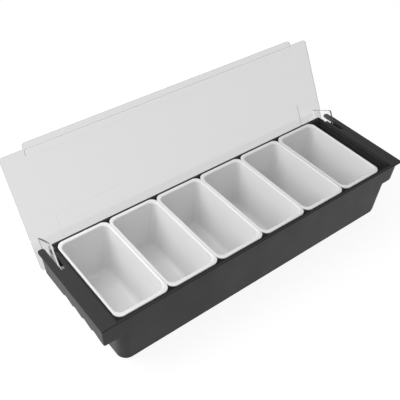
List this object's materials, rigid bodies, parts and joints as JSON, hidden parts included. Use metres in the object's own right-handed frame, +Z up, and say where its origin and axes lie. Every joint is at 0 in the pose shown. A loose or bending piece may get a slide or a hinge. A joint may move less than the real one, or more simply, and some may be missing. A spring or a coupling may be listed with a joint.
{
  "type": "bar garnish tray",
  "caption": "Long black tray with hanging white inserts side by side and a clear hinged lid thrown back on its stops.",
  "frame": {"origin": "midway between the ends of the two wings, on the surface it stands on", "axes": "+X along the tray towards the spare gap, +Y to the back where the lid is hinged, +Z up"},
  "size_m": [0.4967, 0.2198, 0.1847],
  "materials": {
    "black_tray": "fine moulded grain, dull sheen",
    "clear_lid": "clear moulded plastic, glossy, slightly frosted",
    "white_insert": "white moulded plastic, satin gloss"
  },
  "bodies": {
    "tray": {"tray_body": "black_tray"},
    "lid": {"lid": "clear_lid"},
    "insert_1": {"insert_1": "white_insert"},
    "insert_2": {"insert_2": "white_insert"},
    "insert_3": {"insert_3": "white_insert"},
    "insert_4": {"insert_4": "white_insert"},
    "insert_5": {"insert_5": "white_insert"},
    "insert_6": {"insert_6": "white_insert"}
  },
  "joints": [
    {"name": "lid_hinge", "type": "hinge", "parent": "tray", "child": "lid", "pos_m": [0, 0.06112, 0.0709], "axis": [-1, 0, 0], "range_deg": [-118.8, 0]},
    {"name": "insert_1_lift", "type": "slide", "parent": "tray", "child": "insert_1", "axis": [0, 0, 1], "range_m": [0, 0.09]},
    {"name": "insert_2_lift", "type": "slide", "parent": "tray", "child": "insert_2", "axis": [0, 0, 1], "range_m": [0, 0.09]},
    {"name": "insert_3_lift", "type": "slide", "parent": "tray", "child": "insert_3", "axis": [0, 0, 1], "range_m": [0, 0.09]},
    {"name": "insert_4_lift", "type": "slide", "parent": "tray", "child": "insert_4", "axis": [0, 0, 1], "range_m": [0, 0.09]},
    {"name": "insert_5_lift", "type": "slide", "parent": "tray", "child": "insert_5", "axis": [0, 0, 1], "range_m": [0, 0.09]},
    {"name": "insert_6_lift", "type": "slide", "parent": "tray", "child": "insert_6", "axis": [0, 0, 1], "range_m": [0, 0.09]}
  ]
}
